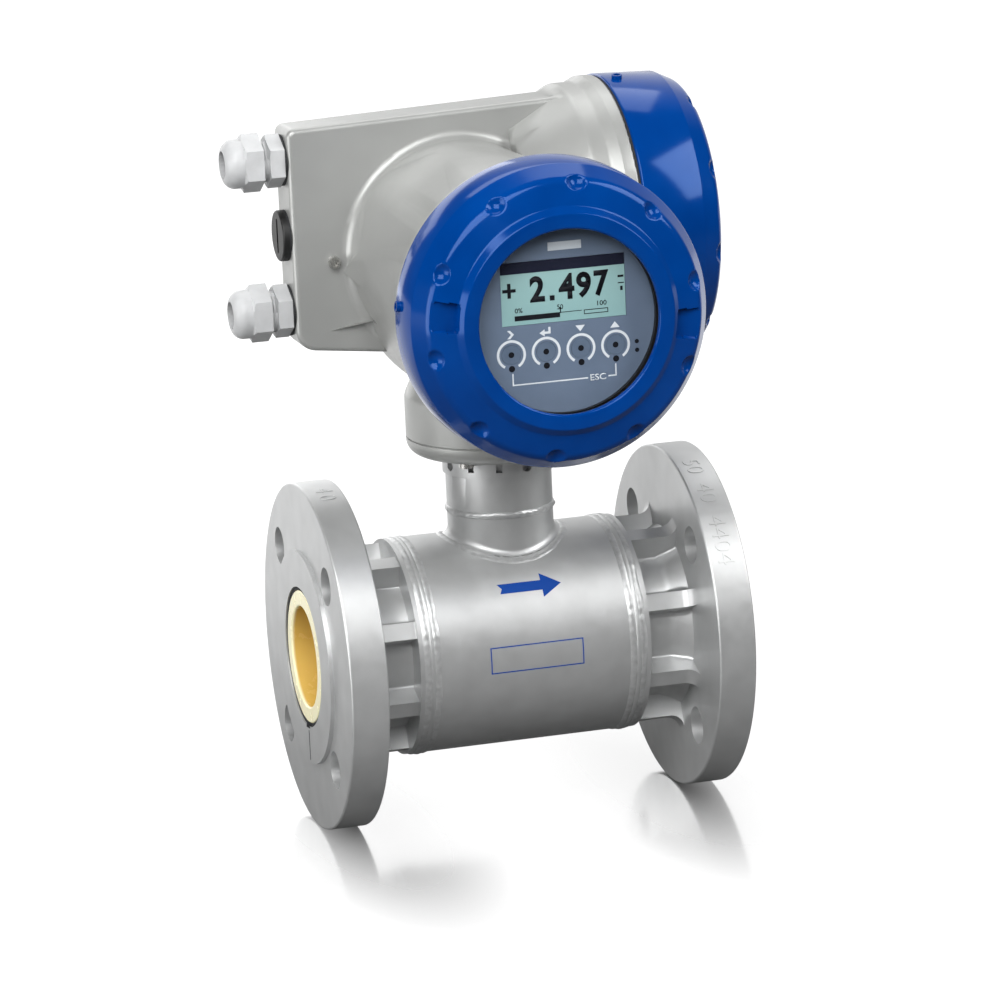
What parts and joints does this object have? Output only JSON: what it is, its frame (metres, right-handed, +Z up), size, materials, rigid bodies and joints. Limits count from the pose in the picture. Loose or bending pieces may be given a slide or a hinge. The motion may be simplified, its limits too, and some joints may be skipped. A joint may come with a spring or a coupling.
{
  "type": "electromagnetic flow meter",
  "caption": "Inline electromagnetic flow meter with flanged ribbed ends, ceramic measuring tube, and a compact converter with a round display cover and a side terminal cover.",
  "frame": {"origin": "middle of the flow bore, half way between the two raised faces", "axes": "+X in the direction of flow, -Y to the display side, +Z up to the converter"},
  "size_m": [0.2246, 0.2111, 0.3459],
  "materials": {
    "sensor_steel": "blasted stainless steel",
    "ceramic": "polished oxide ceramic",
    "seal_rubber": "moulded rubber",
    "housing_paint": "powder coated die cast aluminium",
    "cover_paint": "gloss coated die cast aluminium",
    "window": "toughened glass",
    "panel": "printed polyester film",
    "screen": "liquid crystal display",
    "key_light": "infrared clear plastic",
    "board": "epoxy glass circuit board",
    "inner_plastic": "moulded plastic",
    "terminal_plastic": "moulded plastic",
    "gland_plastic": "moulded polyamide",
    "plug_plastic": "moulded polyamide",
    "small_steel": "stainless steel",
    "iron": "soft iron",
    "copper": "enamelled copper winding",
    "lead_sheath": "cable sheath"
  },
  "bodies": {
    "root": {"inlet_flange": "sensor_steel", "outlet_flange": "sensor_steel", "coil_casing": "sensor_steel", "measuring_tube": "ceramic", "inlet_seal_ring": "seal_rubber", "outlet_seal_ring": "seal_rubber", "upper_pole_shoe": "iron", "upper_coil": "copper", "lower_pole_shoe": "iron", "lower_coil": "copper", "field_yoke": "iron", "front_electrode": "small_steel", "rear_electrode": "small_steel", "neck_tube": "sensor_steel", "neck_collar": "sensor_steel", "signal_lead": "lead_sheath", "converter_housing": "housing_paint", "converter_base": "housing_paint", "base_screws": "small_steel", "lock_screw": "small_steel", "display_panel": "panel", "lcd_module": "screen", "key_windows": "key_light", "display_board": "board", "display_case": "inner_plastic", "electronics_unit": "inner_plastic", "terminal_block": "terminal_plastic", "terminal_screws": "small_steel", "earth_screw": "small_steel", "upper_gland_washer": "seal_rubber", "upper_gland_body": "gland_plastic", "lower_gland_washer": "seal_rubber", "lower_gland_body": "gland_plastic"},
    "front_cover_travel": {"front_cover_seal": "seal_rubber"},
    "front_cover": {"front_cover": "cover_paint", "front_cover_screw": "small_steel", "window_glass": "window", "window_seal": "seal_rubber", "window_ring": "inner_plastic"},
    "side_cover_travel": {"side_cover_seal": "seal_rubber"},
    "side_cover": {"side_cover": "cover_paint", "side_cover_screw": "small_steel"},
    "upper_nut_travel": {"upper_gland_insert": "seal_rubber"},
    "upper_nut": {"upper_gland_nut": "gland_plastic"},
    "lower_nut_travel": {"lower_gland_insert": "seal_rubber"},
    "lower_nut": {"lower_gland_nut": "gland_plastic"},
    "plug_travel": {"blind_plug_washer": "seal_rubber"},
    "plug": {"blind_plug": "plug_plastic"}
  },
  "joints": [
    {"name": "front_cover_travel", "type": "slide", "parent": "root", "child": "front_cover_travel", "axis": [0, -1, 0], "range_m": [0, 0.014]},
    {"name": "front_cover_turn", "type": "hinge", "parent": "front_cover_travel", "child": "front_cover", "pos_m": [0, -0.0885, 0.1738], "axis": [0, -1, 0], "range_deg": [0, 2520]},
    {"name": "side_cover_travel", "type": "slide", "parent": "root", "child": "side_cover_travel", "axis": [1, 0, 0], "range_m": [0, 0.014]},
    {"name": "side_cover_turn", "type": "hinge", "parent": "side_cover_travel", "child": "side_cover", "pos_m": [0.061, 0.0145, 0.1933], "axis": [1, 0, 0], "range_deg": [0, 2520]},
    {"name": "upper_nut_travel", "type": "slide", "parent": "root", "child": "upper_nut_travel", "axis": [-1, 0, 0], "range_m": [0, 0.009]},
    {"name": "upper_nut_turn", "type": "hinge", "parent": "upper_nut_travel", "child": "upper_nut", "pos_m": [-0.105, 0.0145, 0.235], "axis": [-1, 0, 0], "range_deg": [0, 2160]},
    {"name": "lower_nut_travel", "type": "slide", "parent": "root", "child": "lower_nut_travel", "axis": [-1, 0, 0], "range_m": [0, 0.009]},
    {"name": "lower_nut_turn", "type": "hinge", "parent": "lower_nut_travel", "child": "lower_nut", "pos_m": [-0.105, 0.0145, 0.164], "axis": [-1, 0, 0], "range_deg": [0, 2160]},
    {"name": "plug_travel", "type": "slide", "parent": "root", "child": "plug_travel", "axis": [-1, 0, 0], "range_m": [0, 0.0075]},
    {"name": "plug_turn", "type": "hinge", "parent": "plug_travel", "child": "plug", "pos_m": [-0.0938, 0.0145, 0.1995], "axis": [-1, 0, 0], "range_deg": [0, 1800]}
  ],
  "couplings": [
    {"joint": "front_cover_travel", "follows": "front_cover_turn", "m_per_rad": 0.00031831},
    {"joint": "side_cover_travel", "follows": "side_cover_turn", "m_per_rad": 0.00031831},
    {"joint": "upper_nut_travel", "follows": "upper_nut_turn", "m_per_rad": 0.00023873},
    {"joint": "lower_nut_travel", "follows": "lower_nut_turn", "m_per_rad": 0.00023873},
    {"joint": "plug_travel", "follows": "plug_turn", "m_per_rad": 0.00023873}
  ]
}
